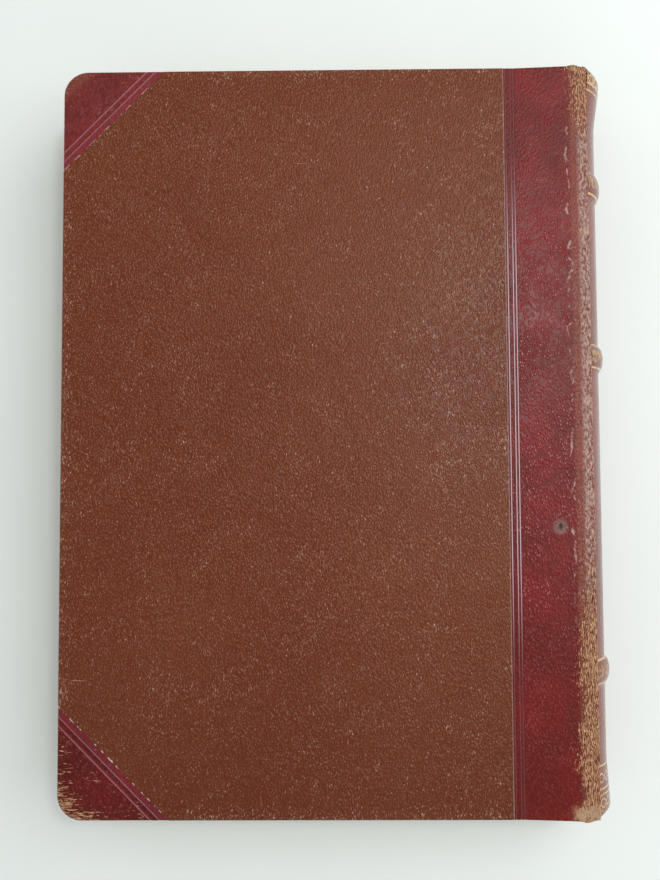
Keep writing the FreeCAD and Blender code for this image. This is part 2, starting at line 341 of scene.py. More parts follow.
def spineWear(add, x, y, z, patch):
    # the spine wears on its bands and caps, and in places along its crown
    fromEnd = add("SUBTRACT", headY, add("ABSOLUTE", y))
    caps = add("MapRange", fromEnd, 12 * mm, 2 * mm)
    onBand = add("MapRange", nearestOf(add, y, bandPlaces), 4.2 * mm, 1.2 * mm)
    level = add("MAXIMUM", caps, add("MULTIPLY", onBand, 1.25))
    crown = add("MapRange", nearestOf(add, z, (spineAxis.z,)), 12 * mm, 3 * mm)
    long = add("TexNoise", add("CombineXYZ", 0.0, y, 0.0), 1 / (30 * mm), 2)
    crown = add("MULTIPLY", crown, add("MapRange", long, 0.47, 0.58))
    level = add("MAXIMUM", level, add("MULTIPLY", crown, 0.9))
    return add("MULTIPLY", level, add("MULTIPLY_ADD", patch, 0.35, 0.5))


def markAt(add, x, y, z, middle, width, slant=1.0):
    # a round or slanted mark on the back cover only, 1 in its middle
    across = add("SUBTRACT", x, middle[0])
    along = add("MULTIPLY", add("SUBTRACT", y, middle[1]), slant)
    spread = add("ADD", add("MULTIPLY", across, across), add("MULTIPLY", along, along))
    near = add("MapRange", add("SQRT", spread), width, width * 0.55)
    return add("MULTIPLY", near, add("GREATER_THAN", z, albumTop * 0.7))


def crackedRidges(add, drift, worn, upright):
    # wavy ridges side by side, whose bare crests widen with the wear; dark cracks lie between them
    turn, scale = ((0, 0, 0.1), (1.0, 0.46, 0.6)) if upright else ((0, 0, -0.08), (0.26, 1.0, 0.6))
    streakPlace = add("Mapping", drift, None, turn, scale)
    wander = add("TexNoise", streakPlace, 1 / (2.2 * mm), 3, 0.6)
    across = add("SeparateXYZ", drift).outputs[0 if upright else 1]
    phase = add("MULTIPLY_ADD", across, 2 * math.pi / leather["streak"],
                add("MULTIPLY", wander, 24.0))
    ridge = add("MULTIPLY_ADD", add("SINE", phase), 0.5, 0.5)
    broken = add("TexNoise", streakPlace, 1 / (0.85 * mm), 3, 0.7)
    crest = add("MULTIPLY_ADD", broken, 2.3, -0.90)
    crest = add("MULTIPLY_ADD", ridge, 0.45, crest)
    limit = add("MULTIPLY_ADD", worn, -0.98, 1.17)
    bare = add("MapRange", add("SUBTRACT", crest, limit), -0.06, 0.08)
    crack = add("MULTIPLY", add("MapRange", ridge, 0.34, 0.08),
                add("MapRange", broken, 0.72, 0.54))
    crack = add("MULTIPLY", crack, add("MapRange", worn, 0.30, 0.65))
    return ridge, broken, bare, crack


def goatLeather(name, where):
    # goatskin, dyed and grained: soft gloss on the grain, bare tan ridges and cracks where handled,
    # with painted glints, painted glare beside the nose and painted highlights on the fillet lines
    material, add, place, x, y, z = startMaterial(name)
    drift = add("TexNoise", place, 1 / (5 * mm), 2).outputs["Color"]
    drift = add("VectorMath", drift, (1.4 * mm, 1.4 * mm, 1.4 * mm), place,
                operation="MULTIPLY_ADD")
    patch = add("MapRange", add("TexNoise", place, 1 / (14 * mm), 3), 0.36, 0.66)
    fillets = None
    if where == "joint":
        worn, ends = jointWear(add, x, y, patch)
        edge = add("SUBTRACT", x, stripX)
        fillets = nearestOf(add, edge, leather["fillets"])
        tooled = add("MapRange", edge, *leather["toolBand"])
        inward = add("SUBTRACT", noseX, x)
        # paler beside the nose: partly thinned dye, partly painted sheen
        thinnedAndSheen = add("MapRange", inward, *leather["thinBand"])
        middle = add("SUBTRACT", 1.0, ends)
        # painted glare on the slope down to the nose, in the lit middle only, not at the worn ends
        paintedGlare = add("MULTIPLY", add("MapRange", inward, *leather["glareBand"]), middle)
        # a painted highlight along the ridge of a wandering fold beside the nose
        fold = add("MULTIPLY_ADD", add("TexNoise", place, 1 / (6 * mm), 4), *leather["foldPlace"])
        fold = add("ABSOLUTE", add("SUBTRACT", inward, fold))
        fold = add("MapRange", fold, *leather["foldBand"])
        worked = add("MapRange", add("TexNoise", place, 1 / (4.5 * mm), 2), 0.46, 0.54)
        fold = add("MULTIPLY", fold, worked)
        paintedGlare = add("MAXIMUM", paintedGlare, add("MULTIPLY", fold, middle))
        tip = add("MULTIPLY", add("MapRange", y, 7 * mm - headY, 3.5 * mm - headY),
                  add("MapRange", inward, 13 * mm, 8 * mm))
        lit = add("MapRange", nearestOf(add, y, (leather["middleY"],)), *leather["litAlong"])
        # the fillet lines' painted highlight is strongest in the lit stretch
        lineHighlight = add("MULTIPLY_ADD", lit, 0.78, 0.08)
    elif where == "corner":
        worn, isHead = cornerWear(add, x, y, patch)
        edge = add("MULTIPLY", pastDiagonal(add, x, y)[0], -1.0)
        fillets = nearestOf(add, edge, leather["cornerFillets"])
        tooled = add("MapRange", edge, *leather["cornerBand"])
        burnished = nearestOf(add, edge, leather["burnished"])
        burnished = add("MapRange", burnished, 0.8 * mm, 0.5 * mm)
        worn = add("MULTIPLY", worn, add("MULTIPLY_ADD", tooled, -0.55, 1.0))
        # the head corner's tip paler: partly rubbed, partly painted sheen
        thinnedAndSheen = add("MULTIPLY", add("MapRange", spotOf(add, x, y), 16 * mm, 9 * mm), isHead)
        lineHighlight = 0.24
    else:
        worn = spineWear(add, x, y, z, patch)
        # the whole spine paler and greyer: painted sheen of the bright room, with a little rubbing
        thinnedAndSheen = 0.75
    ridge, broken, bare, crack = crackedRidges(add, drift, worn, where != "corner")
    if where == "joint":
        crack = add("MULTIPLY", crack, add("MULTIPLY_ADD", tip, -0.9, 1.0))
        bare = add("MAXIMUM", bare, add("MULTIPLY", tip, add("MapRange", broken, 0.36, 0.46)))

    # dye: blotches, deeper in the lows of the grain, thin where hands rub it, paler with painted sheen,
    # and with painted glints and shade
    grainPlace = add("Mapping", drift, None, (0, 0, leather["grainTurn"]), (1.0, 0.62, 1.0))
    cells = add("TexVoronoi", grainPlace, 1 / leather["grain"])
    blotch = add("MapRange", add("TexNoise", place, 1 / (24 * mm), 4), 0.34, 0.66)
    colour = add("Mix", blotch, leather["brownDye"], leather["dye"])
    deep = add("MULTIPLY", add("MapRange", cells, 0.30, 0.80), 0.40)
    # painted light on the corners: the tail corner darker with painted shade, the head corner paler
    # pink with a painted sky reflection
    if where == "corner":
        deep = add("MULTIPLY_ADD", add("SUBTRACT", 1.0, isHead), 0.30, deep)
        colour = add("Mix", add("MULTIPLY", isHead, 0.25), colour, leather["headCornerSheen"])
    colour = add("Mix", deep, colour, leather["deepDye"])
    # painted glints: pale pink highlights on the grain tips, more in patches, on the joint most in the
    # lit stretch, faint on the corners
    chance = add("SeparateColor", cells.outputs["Color"])
    paintedGlint = add("MULTIPLY", add("MapRange", cells, 0.38, 0.14),
                add("MapRange", chance, 0.25, 0.85))
    paintedGlint = add("MULTIPLY", paintedGlint, add("MULTIPLY_ADD", patch, 0.56, 0.06))
    if where == "corner":
        paintedGlint = add("MULTIPLY", paintedGlint, 0.30)
    if where == "joint":
        paintedGlint = add("MULTIPLY", paintedGlint, add("MULTIPLY_ADD", lit, 0.80, 0.25))
    colour = add("Mix", paintedGlint, colour, leather["paintedGlint"])
    fine = add("TexNoise", place, 1 / leather["fine"], 3, 0.65)
    thin = add("MULTIPLY", thinnedAndSheen, add("MapRange", fine, 0.36, 0.62))
    colour = add("Mix", add("MULTIPLY", thin, 0.62), colour, leather["rubbed"])
    if fillets is not None:
        pressed, tint = (tooled, "pressedDye") if where == "joint" else (burnished, "toolDye")
        colour = add("Mix", add("MULTIPLY", pressed, 0.34), colour, leather[tint])
        # the fillet lines: their burnish with a painted highlight on it
        line = add("MapRange", fillets, 2.2 * leather["filletHalf"], leather["filletHalf"])
        colour = add("Mix", add("MULTIPLY", line, lineHighlight), colour, leather["filletHighlight"])
    # painted glare beside the nose
    if where == "joint":
        shiny = add("MULTIPLY", paintedGlare, add("MapRange", broken, 0.38, 0.62))
        colour = add("Mix", add("MULTIPLY", shiny, 0.75), colour, leather["paintedGlare"])
    hide = add("MapRange", add("ADD", broken, add("MULTIPLY", ridge, 0.15)), 0.42, 0.72)
    hide = add("Mix", hide, leather["hide"], leather["paleHide"])
    if where == "joint":
        hide = add("Mix", add("MULTIPLY", tip, 0.7), hide, leather["scraped"])
    colour = add("Mix", add("MULTIPLY", bare, 0.9), colour, hide)
    colour = add("Mix", add("MULTIPLY", crack, 0.8), colour, leather["crack"])
    rough = add("MULTIPLY_ADD", patch, 0.08, 0.24)
    rough = add("MULTIPLY_ADD", bare, 0.25, rough)
    metal = 0.0
    if where == "spine":
        gold = giltMask(add, place, y, z, x)
        colour = add("Mix", gold, colour, leather["gold"])
        rough = add("MULTIPLY_ADD", gold, -0.06, rough)
        metal = add("MULTIPLY", gold, 0.6)

    # relief: pebbled grain, flattened by the tool, then ridges and cracks
    pebble = add("MapRange", cells, 0.75, 0.05)
    pebble = add("MULTIPLY", pebble, add("MULTIPLY_ADD", patch, 0.6, 0.55))
    if fillets is not None:
        pebble = add("MULTIPLY", pebble, add("MULTIPLY_ADD", tooled, -0.25, 1.0))
    relief = add("MULTIPLY_ADD", fine, 0.25, pebble)
    relief = add("MULTIPLY_ADD", add("MULTIPLY", ridge, worn), 1.3, relief)
    relief = add("MULTIPLY_ADD", crack, -0.8, relief)
    relief = add("MULTIPLY_ADD", add("TexNoise", place, 1 / (6 * mm), 2), 0.8, relief)
    if where == "joint":
        bruise = markAt(add, x, y, z, leather["dent"], leather["dentReach"])
        slit = markAt(add, x, y, z, leather["dent"], leather["slitReach"], 0.55)
        nick = markAt(add, x, y, z, leather["nick"], leather["nickReach"], 2.2)
        bruised = add("MULTIPLY", bruise, add("MapRange", fine, 0.3, 0.6))
        colour = add("Mix", add("MULTIPLY", bruised, 0.6), colour, leather["bruised"])
        colour = add("Mix", add("MULTIPLY", nick, 0.6), colour, leather["nicked"])
        colour = add("Mix", slit, colour, leather["slit"])
        relief = add("MULTIPLY_ADD", bruise, -1.2, relief)
    bump = add("Bump", 0.9, leather["relief"], {"Height": relief})
    shader = add("BsdfPrincipled", {"Base Color": colour, "Roughness": rough, "Normal": bump,
                                    "Specular IOR Level": 0.22, "Metallic": metal,
                                    "Coat Weight": 0.6 if where == "spine" else 0.0,
                                    "Coat Roughness": 0.22})
    add("OutputMaterial", shader)
    return material


gilt = {
    "rule": 0.7 * mm,  # width of a gilt line
    "fromBand": 4.7 * mm,  # from a raised band's middle to the gilt line beside it
    "headRules": (8.4 * mm, 5.6 * mm),
    "tailRules": (19.5 * mm, 10.6 * mm, 8.4 * mm),
    "scallopRows": (3.4 * mm, 14.8 * mm, 5.2 * mm),  # the first from the head, the others from the tail
    "scallop": 5 * mm,
    "scallopRise": 1.7 * mm,
    "line": 0.24 * mm,  # half the width of a drawn line
    "flower": 6.5 * mm,
    "eye": 0.8 * mm,  # the dot in the flower's middle
}


def giltMask(add, place, y, z, x):
    # gold leaf tooled into the spine: rules beside the bands and at both ends, scallops between
    # them, and a plain four-petalled flower in each long panel
    fromAxis = [add("SUBTRACT", z, spineAxis.z), add("SUBTRACT", x, spineAxis.x)]
    around = add("MULTIPLY", add("ARCTAN2", *fromAxis), spineRadius)
    besideBand = nearestOf(add, nearestOf(add, y, bandPlaces), (gilt["fromBand"],))
    ends = [headY - gap for gap in gilt["headRules"]] + [gap - headY for gap in gilt["tailRules"]]
    rules = add("MINIMUM", besideBand, nearestOf(add, y, ends))
    mask = add("MapRange", rules, 0.6 * gilt["rule"], 0.35 * gilt["rule"])
    headRow, *tailRows = gilt["scallopRows"]
    row = nearestOf(add, y, [headY - headRow] + [gap - headY for gap in tailRows])
    wave = add("ABSOLUTE", add("SINE", add("MULTIPLY", around, math.pi / gilt["scallop"])))
    curl = add("ABSOLUTE", add("MULTIPLY_ADD", wave, -gilt["scallopRise"], row))
    drawn = add("MapRange", curl, 1.7 * gilt["line"], 0.9 * gilt["line"])
    inRow = add("MapRange", row, 2.1 * mm, 1.8 * mm)
    mask = add("MAXIMUM", mask, add("MULTIPLY", inRow, drawn))
    panels = [(headY + bandPlaces[0]) / 2 - 3 * mm, (bandPlaces[0] + bandPlaces[1]) / 2,
              (bandPlaces[2] + gilt["tailRules"][0] - headY) / 2]
    along = nearestOf(add, y, panels)
    out = add("ABSOLUTE", around)
    turn = add("ARCTAN2", along, out)
    reach = add("SQRT", add("MULTIPLY_ADD", along, along, add("MULTIPLY", out, out)))
    petal = add("ABSOLUTE", add("COSINE", add("MULTIPLY", turn, 2.0)))
    petal = add("MULTIPLY", add("MULTIPLY_ADD", petal, 0.62, 0.38), gilt["flower"])
    rings = [add("ABSOLUTE", add("MULTIPLY_ADD", petal, -share, reach)) for share in (1, 0.55)]
    flower = add("MapRange", add("MINIMUM", *rings), 1.9 * gilt["line"], gilt["line"])
    eye = add("MapRange", reach, gilt["eye"] + 0.1 * mm, gilt["eye"] - 0.1 * mm)
    flower = add("MAXIMUM", flower, eye)
    mask = add("MAXIMUM", mask, flower)
    rubbed = add("MapRange", add("TexNoise", place, 1 / (2.2 * mm), 5, 0.7), 0.34, 0.48)
    return add("MULTIPLY", mask, rubbed)


sideCover = {
    "brown": "783915",
    "redBrown": "722F0A",
    # painted sheen: greyer brown towards the right middle
    "sheenBrown": "78432D",
    # painted shade towards the tail
    "tailShadeBrown": "561C04",
    "valley": "4E220F",
    "pebble": 0.85 * mm,  # one grain of the embossing
    "fleck": 0.54 * mm,
    "paleTipGlint": "B58B78",  # pebble tips made pale: partly rubbed, partly painted glints
    # bright flecks: partly rubbed tips, partly painted glints
    "rubbed": "D3BCAC",
    "chip": "CBC5B6",  # white core where the surface has chipped
    "scratch": "C09C84",
    "scuffs": ((58 * mm, 1), (27 * mm, -1)),  # chipped stretches: place along X, head or tail
    "scuffAlong": (26 * mm, 8 * mm),  # where a stretch starts and where it is full
    "scuffDeep": 9 * mm,
    "cornerChip": 1.2 * mm,
    "stripChip": 0.6 * mm,
    "rim": (7 * mm, 0.5 * mm),
    # where the painted sheen lies: across X, and along Y
    "sheenAcross": (-0.03, 0.06),
    "sheenAlong": (0.10, 0.03),  # from the middle of the painted sheen
    "sheenMiddle": 0.02,
    "tailShade": (-0.05, -0.14),  # painted shade: the paper is darker and browner towards the tail, where less sheen falls
    "grainTurn": -0.6,  # radians
    "relief": 0.20 * mm,
}


def bookPaper():
    # leather-grained side paper: embossed pebbles with a waxy gloss, rubbed pale on their tips, with
    # painted glints, a painted sheen and painted shade towards the tail
    material, add, place, x, y = startMaterial("leatherGrainPaper")[:5]
    drift = add("TexNoise", place, 1 / (3 * mm), 2).outputs["Color"]
    drift = add("VectorMath", drift, (0.8 * mm, 0.8 * mm, 0.8 * mm), place,
                operation="MULTIPLY_ADD")
    grainPlace = add("Mapping", drift, None, (0, 0, sideCover["grainTurn"]), (1.0, 0.66, 1.0))
    cells = add("TexVoronoi", grainPlace, 1 / sideCover["pebble"])
    valleys = add("TexVoronoi", grainPlace, 1 / sideCover["pebble"], feature="DISTANCE_TO_EDGE")
    broad = add("MapRange", add("TexNoise", place, 1 / (90 * mm), 3), 0.36, 0.64)
    colour = add("Mix", broad, sideCover["redBrown"], sideCover["brown"])
    # painted sheen: greyer towards the right middle, where the room's light glances off the grain
    sheenZone = nearestOf(add, y, (sideCover["sheenMiddle"],))
    sheenZone = add("MULTIPLY", add("MapRange", x, *sideCover["sheenAcross"]),
                 add("MapRange", sheenZone, *sideCover["sheenAlong"]))
    colour = add("Mix", add("MULTIPLY", sheenZone, 0.18), colour, sideCover["sheenBrown"])
    # painted shade: darker and browner towards the tail
    tailShade = add("MULTIPLY", add("MapRange", y, *sideCover["tailShade"]), 0.30)
    colour = add("Mix", tailShade, colour, sideCover["tailShadeBrown"])
    valley = add("MULTIPLY", add("MapRange", valleys, 0.20, 0.02), 0.62)
    colour = add("Mix", valley, colour, sideCover["valley"])

    # rubbed tips and painted glints: small bright flecks, more of them in patches, in the painted sheen
    # and near the edges
    fromFore, fromEnd = edgeDistances(add, x, y)
    rim = add("MINIMUM", fromFore, fromEnd)
    patch = add("MapRange", add("TexNoise", place, 1 / (12 * mm), 5, 0.7), 0.40, 0.66)
    fleckPlace = add("Mapping", drift, None, (0, 0, -0.7), (1.0, 0.5, 1.0))
    fleck = add("TexNoise", fleckPlace, 1 / sideCover["fleck"], 2, 0.6)
    fleck = add("MULTIPLY_ADD", patch, 0.055, fleck)
    fleck = add("MULTIPLY_ADD", sheenZone, 0.025, fleck)
    fleck = add("MULTIPLY_ADD", add("MapRange", rim, *sideCover["rim"]), 0.06, fleck)
    chance = add("SeparateColor", cells.outputs["Color"])
    dull = add("MULTIPLY", add("MapRange", fleck, 0.56, 0.72), 0.16)
    # painted glints on the pebble tips, most in the painted sheen
    tipGlints = add("MULTIPLY", add("MapRange", cells, 0.34, 0.10),
               add("MULTIPLY_ADD", sheenZone, 0.62, 0.10))
    tipGlints = add("MULTIPLY", tipGlints, add("MapRange", chance, 0.10, 0.90))
    dull = add("MAXIMUM", dull, tipGlints)
    colour = add("Mix", dull, colour, sideCover["paleTipGlint"])
    # bright flecks: partly rubbed, partly painted glints
    glintFlecks = add("MULTIPLY", add("MapRange", fleck, 0.665, 0.79),
                 add("MULTIPLY_ADD", chance, 0.60, 0.20))
    colour = add("Mix", glintFlecks, colour, sideCover["rubbed"])

    # chipped edges: here and there beside the leather, and in places on the outer edges
    pastCorner, isHead = pastDiagonal(add, x, y)
    ragged = add("TexNoise", place, 1 / (2.4 * mm), 4, 0.7)
    patchy = add("MapRange", add("TexNoise", place, 1 / (3.2 * mm), 3), 0.47, 0.60)
    patchy = add("MULTIPLY", patchy, add("MULTIPLY_ADD", isHead, -0.4, 1.0))
    cut = add("MULTIPLY_ADD", pastCorner, -1 / sideCover["cornerChip"], add("MULTIPLY", ragged, patchy))
    cut = add("MapRange", cut, 0.12, 0.26)
    byStrip = add("MULTIPLY_ADD", add("SUBTRACT", stripX, x), -1 / sideCover["stripChip"], ragged)
    byStrip = add("MULTIPLY", add("MapRange", byStrip, 0.0, 0.2), 0.35)
    chips = add("MAXIMUM", cut, byStrip)
    gougePlace = add("Mapping", place, None, (0, 0, 0.35), (1.0, 0.35, 0.35))
    gouge = add("TexNoise", gougePlace, 1 / (1.6 * mm), 4, 0.7)
    for along, headward in sideCover["scuffs"]:
        near = add("MapRange", nearestOf(add, x, (along,)), *sideCover["scuffAlong"])
        rightEnd = add("GREATER_THAN", add("MULTIPLY", y, float(headward)), 0.0)
        scuff = add("MULTIPLY_ADD", fromEnd, -1 / sideCover["scuffDeep"], add("MULTIPLY", gouge, near))
        scuff = add("MULTIPLY", add("MapRange", scuff, 0.56, 0.66), rightEnd)
        chips = add("MAXIMUM", chips, add("MULTIPLY", scuff, 0.85))
    colour = add("Mix", chips, colour, sideCover["chip"])

    # fine scratches
    scratchPlace = add("Mapping", place, None, (0, 0, 0.95), (0.05, 1.0, 1.0))
    scratch = add("TexNoise", scratchPlace, 1 / (0.9 * mm), 2)
    scratch = add("MapRange", scratch, 0.72, 0.76)
    where = add("MapRange", add("TexNoise", place, 1 / (30 * mm), 2), 0.50, 0.6)
    scratch = add("MULTIPLY", add("MULTIPLY", scratch, where), 0.4)
    colour = add("Mix", scratch, colour, sideCover["scratch"])

    cloudy = add("TexNoise", place, 1 / (40 * mm), 2)
    rough = add("MULTIPLY_ADD", cloudy, 0.10, 0.20)
    rough = add("MULTIPLY_ADD", chips, 0.4, rough)
    dome = add("MapRange", cells, 0.7, 0.0)
    fine = add("TexNoise", place, 1 / (0.45 * mm), 2)
    relief = add("MULTIPLY_ADD", fine, 0.35, dome)
    relief = add("MULTIPLY_ADD", cloudy, 2.2, relief)
    bump = add("Bump", 1.0, sideCover["relief"], {"Height": relief})
    shader = add("BsdfPrincipled", {"Base Color": colour, "Roughness": rough, "Normal": bump,
                                    "Specular IOR Level": 0.28})
    add("OutputMaterial", shader)
    return material


sheetLook = {  # what a sheet has unless its own look says otherwise
    "fleck": 0.3,
    "edgeTone": 0.0,
    "foxing": "A9794A",
    "rough": 0.85,
    "relief": 0.03 * mm,
    "threads": 0,  # distance between woven threads, or none
    "layers": 0,  # distance between stacked layers, or none
}


def fibrousSheet(name, colours, look=None):
    # paper, card, cloth or thread: matt, with fibres in it, toned by age, and woven if it has threads
    look = sheetLook | (look or {})
    material, add, place, x, y, z = startMaterial(name)
    first, second, dark = colours
    cloud = add("MapRange", add("TexNoise", place, 1 / (30 * mm), 4), 0.3, 0.7)
    colour = add("Mix", cloud, first, second)
    fibrePlace = add("Mapping", place, None, (0, 0, 0.4), (1.0, 0.16, 1.0))
    fibre = add("TexNoise", fibrePlace, 1 / (0.5 * mm), 4, 0.7)
    fleck = add("MULTIPLY", add("MapRange", fibre, 0.52, 0.75), look["fleck"])
    colour = add("Mix", fleck, colour, dark)
    height = fibre
    if look["edgeTone"]:
        rim = add("MINIMUM", *edgeDistances(add, x, y))
        rim = add("MULTIPLY_ADD", add("TexNoise", place, 1 / (9 * mm), 3), -9 * mm, rim)
        toned = add("MULTIPLY", add("MapRange", rim, 9 * mm, -2 * mm), look["edgeTone"])
        colour = add("Mix", toned, colour, dark)
        spots = add("TexNoise", place, 1 / (5 * mm), 3, 0.6)
        spots = add("MapRange", spots, 0.70, 0.76)
        colour = add("Mix", add("MULTIPLY", spots, 0.25), colour, look["foxing"])
    if look["threads"]:
        pace = 2 * math.pi / look["threads"]
        weft = add("SINE", add("MULTIPLY", y, pace))
        warp = add("SINE", add("MULTIPLY", add("ADD", x, z), pace))
        height = add("MULTIPLY_ADD", fibre, 0.6, add("MULTIPLY", weft, warp))
        gaps = add("MULTIPLY", add("MapRange", height, 0.4, -0.5), 0.35)
        colour = add("Mix", gaps, colour, dark)
    if look["layers"]:
        uneven = add("MULTIPLY_ADD", add("TexNoise", place, 1 / (7 * mm), 2), 0.5 * mm, z)
        layer = add("SINE", add("MULTIPLY", uneven, 2 * math.pi / look["layers"]))
        height = add("MULTIPLY_ADD", layer, 0.8, fibre)
        gaps = add("MULTIPLY", add("MapRange", layer, -0.3, -0.95), 0.75)
        colour = add("Mix", gaps, colour, dark)
    bump = add("Bump", 0.6, look["relief"], {"Height": height})
    shader = add("BsdfPrincipled", {"Base Color": colour, "Roughness": look["rough"],
                                    "Normal": bump})
    add("OutputMaterial", shader)
    return material


film = {
    "tint": "EFE6CC",
    "clear": 0.42,
    "bend": 1.48,
    "ripple": 0.6 * mm,
}


def clearFilm():
    # thin acetate pocket strip: clear and glossy, a little yellow, faintly rippled
    material, add, place = startMaterial("acetateFilm")[:3]
    ripplePlace = add("Mapping", place, None, None, (0.25, 1.0, 1.0))
    ripple = add("TexNoise", ripplePlace, 1 / (14 * mm), 2)
    bump = add("Bump", 0.5, film["ripple"], {"Height": ripple})
    haze = add("MULTIPLY_ADD", add("TexNoise", place, 1 / (6 * mm), 4), 0.16, 0.10)
    shader = add("BsdfPrincipled", {"Base Color": film["tint"], "Roughness": haze,
                                    "Alpha": film["clear"], "IOR": film["bend"], "Normal": bump})
    add("OutputMaterial", shader)
    return material


endbandLook = {
    "core": 1.2 * mm,  # reach of the silk from the middle of its cord
    "thread": 0.24 * mm,
    "stripeAngle": math.radians(3.4),
    "wraps": 74,
    "red": "9B2B26",
    "cream": "E3D6B4",
    "dust": "6B4A33",
}


def silkThreads():
    # silk wound over a cord: red and cream threads side by side, with a soft sheen
    material, add, place, x, y, z = startMaterial("silkThread")
    fromAxis = [add("SUBTRACT", z, spineAxis.z), add("SUBTRACT", x, spineAxis.x)]
    angle = add("ARCTAN2", *fromAxis)
    stripe = add("SINE", add("MULTIPLY", angle, math.pi / endbandLook["stripeAngle"]))
    stripe = add("MapRange", stripe, -0.1, 0.1)
    colour = add("Mix", stripe, endbandLook["red"], endbandLook["cream"])
    dust = add("MULTIPLY", add("TexNoise", place, 1 / (0.4 * mm), 3), 0.4)
    colour = add("Mix", dust, colour, endbandLook["dust"])
    shader = add("BsdfPrincipled", {"Base Color": colour, "Roughness": 0.45, "Sheen Weight": 0.3})
    add("OutputMaterial", shader)
    return material


woven = {"relief": 0.1 * mm, "threads": 0.6 * mm, "rough": 0.9}
materials = {
    "side_paper": bookPaper(),
    "jointLeather": goatLeather("goatskinJoint", "joint"),
    "cornerLeather": goatLeather("goatskinCorner", "corner"),
    "spineLeather": goatLeather("goatskinSpine", "spine"),
    "silk": silkThreads(),
    "millboard": fibrousSheet("millboard", ("8F8676", "7D7464", "5E564A"), {"fleck": 0.5}),
    "endpaper": fibrousSheet("tonedEndpaper", ("E6DCC2", "DDD0B0", "B79B6C"),
                             {"edgeTone": 0.7, "rough": 0.8}),
    "hinge_cloth": fibrousSheet("bookCloth", ("6A2A28", "5E2422", "3C1413"),
                                woven | {"relief": 0.06 * mm}),
    "manila_card": fibrousSheet("manilaCard", ("C9AE7E", "BC9F6D", "8F7243")),
    "hinge_guards": fibrousSheet("stackedGuards", ("C9AE7E", "BC9F6D", "6E5632"),
                                 {"layers": 1.1 * mm, "relief": 0.12 * mm}),
    "band_card": fibrousSheet("pasteCard", ("B79C72", "A88B60", "7A6240"), {"fleck": 0.4}),
    "lining": fibrousSheet("mullGauze", ("D8CFB8", "CABF9F", "97886A"), woven | {"threads": 0.9 * mm}),
    "linen_tape": fibrousSheet("linenTape", ("DCD4BF", "CFC5A8", "9E9274"), woven),
    "thread": fibrousSheet("linenThread", ("E2DAC4", "D2C7A8", "A39776"), {"fleck": 0.4}),
    "endband": fibrousSheet("endbandCord", ("8E2B26", "7A2420", "4E1512")),
    "leaf_card": fibrousSheet("stockLeafCard", ("D9CBA6", "CFBF96", "A08556"),
                              {"edgeTone": 0.6, "rough": 0.75}),
    "clear_film": clearFilm(),
}
print("finishes made")


coverLook = {
    "cornerRound": 10 * mm,
    "edgeRound": 0.9 * mm,
    "skin": 0.5 * mm,
    "turnIn": 15 * mm,
    "noseLap": 4 * mm,
    "paperProud": 0.2 * mm,
    "shoulder": 8.6 * mm,  # the board and its leather slope down from here to the nose
    "shoulderDip": 1.0 * mm,
    "filletDeep": 0.13 * mm,
    "filletHalf": 0.26 * mm,
    "unevenWaves": (7 * mm, 19 * mm),
    "headBump": 1.1 * mm,  # leather bunched at the head and tail of the joint
    "bunchDeep": 6 * mm,
    "bunchReach": 14 * mm,  # how far from the nose it is bunched
}


def roundSlab(slab, cornerRound, noseEdge, halfThick):
    # rounds a slab's two fore corners and its whole spine edge
    pick(slab, "EDGE", lambda e: span(e, 2) > coverLook["edgeRound"] and e.verts[0].co.x < 0)
    bpy.ops.mesh.bevel(offset=cornerRound, segments=12, affect="EDGES")
    pick(slab, "EDGE", lambda e: span(e, 1) > cornerRound
         and min(v.co.x for v in e.verts) > noseEdge - 0.01 * mm)
    bpy.ops.mesh.bevel(offset=halfThick * 0.998, segments=8, affect="EDGES")


def coverBlank(side):
    # the board with its skin on, as one rounded slab, open where the turned-in skin ends
    outward = sides[side]
    low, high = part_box(side + "_joint_leather")
    blank = addBlock(side + "Blank", (foreX, low.y, low.z), high)
    roundSlab(blank, coverLook["cornerRound"], noseX, noseRadius)
    pick(blank, "FACE", lambda f: abs(f.normal.z) < 0.05 and f.normal.x < 0.5)
    bpy.ops.mesh.region_to_loop()
    bpy.ops.mesh.bevel(offset=coverLook["edgeRound"], segments=4, affect="EDGES")
    windowHead = headY - coverLook["turnIn"]
    windowFore = foreX + coverLook["turnIn"]
    windowNose = hingeX - coverLook["noseLap"]
    for point, normal in (((windowFore, 0, 0), (1, 0, 0)), ((windowNose, 0, 0), (1, 0, 0)),
                          ((0, windowHead, 0), (0, 1, 0)), ((0, -windowHead, 0), (0, 1, 0))):
        slicePiece(blank, point, normal)
    pick(blank, "FACE", lambda f: f.normal.z * outward < -0.9
         and windowFore < f.calc_center_median().x < windowNose
         and abs(f.calc_center_median().y) < windowHead)
    bpy.ops.mesh.delete(type="FACE")
    selectOnly()
    return blank


def sink(piece, outward, point, normal, deep, half):
    # a groove pressed into the outer face along a plane, with a row beside it that keeps the flat flat
    normal = Vector(normal).normalized()
    for step in (-1.35, -1, 0, 1, 1.35):
        slicePiece(piece, Vector(point) + normal * half * step, normal)
    top = max(v.co.z * outward for v in bmesh.from_edit_mesh(piece.data).verts)
    pick(piece, "VERT", lambda v: abs((v.co - Vector(point)).dot(normal)) < half * 0.2
         and v.co.z * outward > top - 0.6 * mm)
    bpy.ops.transform.translate(value=(0, 0, -deep * outward))


def diagonal(leg, headward, inset=0.0):
    # the line across a corner where its leather ends: a point on it, and the way out of the corner
    point = Vector((foreX + leg, headward * headY, 0))
    normal = Vector((1, -headward, 0)).normalized()
    return point - normal * inset, normal


